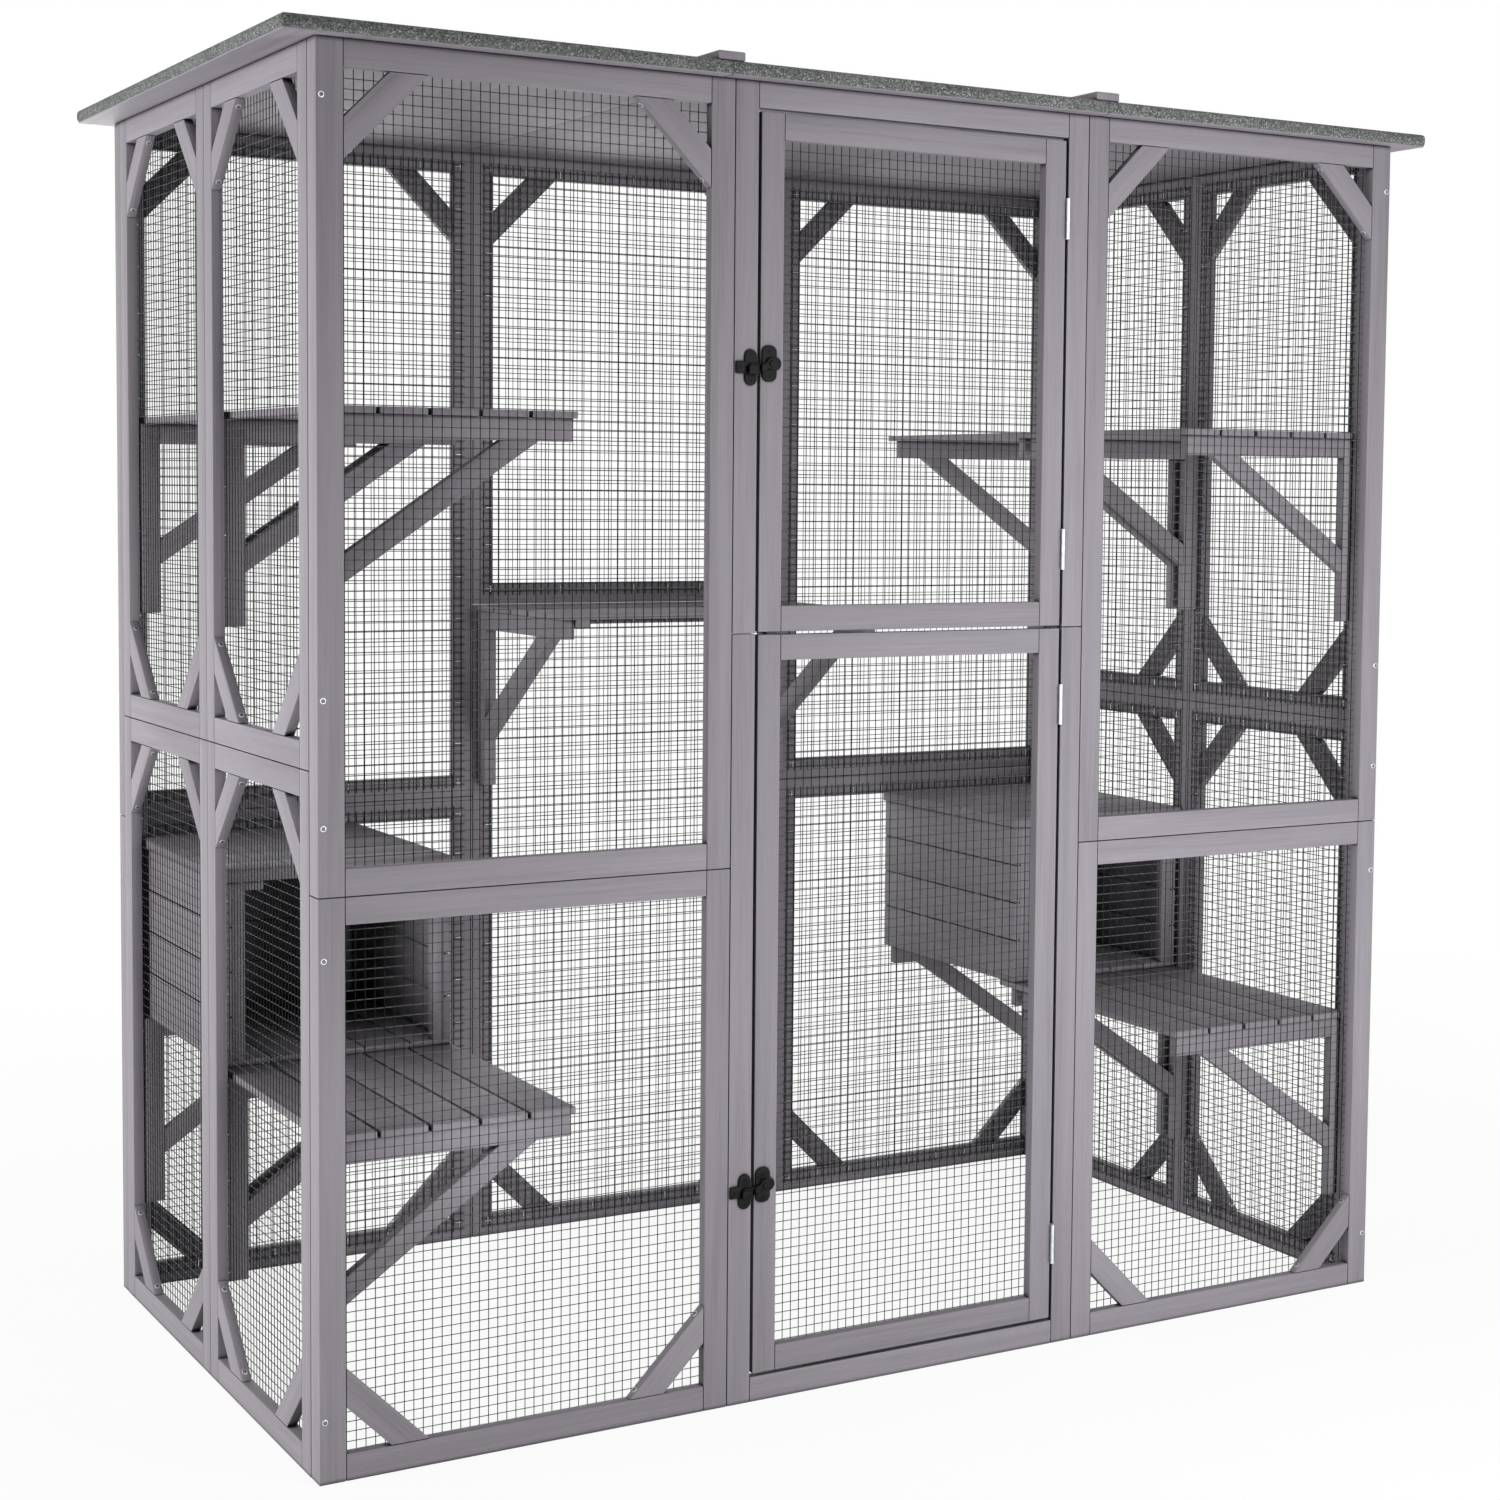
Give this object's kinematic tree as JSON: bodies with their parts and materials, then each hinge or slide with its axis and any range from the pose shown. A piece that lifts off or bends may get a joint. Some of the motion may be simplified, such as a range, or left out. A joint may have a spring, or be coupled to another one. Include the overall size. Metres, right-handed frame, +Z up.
{
  "type": "walk-in cat enclosure",
  "caption": "Free-standing timber and wire mesh walk-in cat enclosure with stacked hinged doors, slatted shelves, plank houses and a flat felted roof.",
  "frame": {"origin": "on the floor, under the middle of the roof's outline", "axes": "+X to the right along the front, +Y from the front to the back, +Z up; the doors are on the -Y side"},
  "size_m": [1.81, 0.97, 1.811],
  "materials": {
    "painted_wood": "grey satin paint over fine grain",
    "mesh_wire": "dark coated welded wire",
    "roof_felt": "green-grey mineral granules",
    "latch_black": "black coating, half gloss",
    "hinge_zinc": "zinc plated"
  },
  "bodies": {
    "enclosure": {"back_left_lower_panel": "painted_wood", "back_left_upper_panel": "painted_wood", "back_mesh": "mesh_wire", "back_middle_lower_panel": "painted_wood", "back_middle_upper_panel": "painted_wood", "back_right_lower_panel": "painted_wood", "back_right_upper_panel": "painted_wood", "back_shelf": "painted_wood", "back_shelf_brackets": "painted_wood", "doorway_lower_frame": "painted_wood", "doorway_upper_frame": "painted_wood", "front_left_lower_panel": "painted_wood", "front_left_upper_panel": "painted_wood", "front_mesh": "mesh_wire", "front_right_lower_panel": "painted_wood", "front_right_upper_panel": "painted_wood", "left_back_lower_panel": "painted_wood", "left_back_upper_panel": "painted_wood", "left_front_lower_panel": "painted_wood", "left_front_upper_panel": "painted_wood", "left_house_roof": "painted_wood", "left_house_walls": "painted_wood", "left_mesh": "mesh_wire", "lower_hinge_frame_leaves": "hinge_zinc", "lower_hinge_pins": "hinge_zinc", "lower_latch_keeper": "latch_black", "lower_left_platform": "painted_wood", "lower_left_platform_brackets": "painted_wood", "lower_right_platform": "painted_wood", "lower_right_platform_brackets": "painted_wood", "right_back_lower_panel": "painted_wood", "right_back_upper_panel": "painted_wood", "right_front_lower_panel": "painted_wood", "right_front_upper_panel": "painted_wood", "right_house_roof": "painted_wood", "right_house_walls": "painted_wood", "right_mesh": "mesh_wire", "roof_battens": "painted_wood", "roof_felt": "roof_felt", "roof_left_panel": "painted_wood", "roof_middle_panel": "painted_wood", "roof_right_panel": "painted_wood", "upper_hinge_frame_leaves": "hinge_zinc", "upper_hinge_pins": "hinge_zinc", "upper_latch_keeper": "latch_black", "upper_left_shelf": "painted_wood", "upper_left_shelf_brackets": "painted_wood", "upper_right_shelf": "painted_wood", "upper_right_shelf_brackets": "painted_wood"},
    "upper_door": {"upper_door_frame": "painted_wood", "upper_door_mesh": "mesh_wire", "upper_hinge_door_leaves": "hinge_zinc", "upper_latch_plate": "latch_black"},
    "lower_door": {"lower_door_frame": "painted_wood", "lower_door_mesh": "mesh_wire", "lower_hinge_door_leaves": "hinge_zinc", "lower_latch_plate": "latch_black"},
    "upper_latch_lever": {"upper_latch_lever": "latch_black"},
    "lower_latch_lever": {"lower_latch_lever": "latch_black"}
  },
  "joints": [
    {"name": "upper_door_hinge", "type": "hinge", "parent": "enclosure", "child": "upper_door", "pos_m": [0.248, -0.4627, 1.39625], "axis": [0, 0, 1], "range_deg": [0, 150]},
    {"name": "lower_door_hinge", "type": "hinge", "parent": "enclosure", "child": "lower_door", "pos_m": [0.248, -0.4627, 0.54375], "axis": [0, 0, 1], "range_deg": [0, 150]},
    {"name": "upper_latch_pivot", "type": "hinge", "parent": "upper_door", "child": "upper_latch_lever", "pos_m": [-0.231, -0.4653, 1.4095], "axis": [0, 1, 0], "range_deg": [0, 90]},
    {"name": "lower_latch_pivot", "type": "hinge", "parent": "lower_door", "child": "lower_latch_lever", "pos_m": [-0.231, -0.4653, 0.3], "axis": [0, 1, 0], "range_deg": [0, 90]}
  ]
}
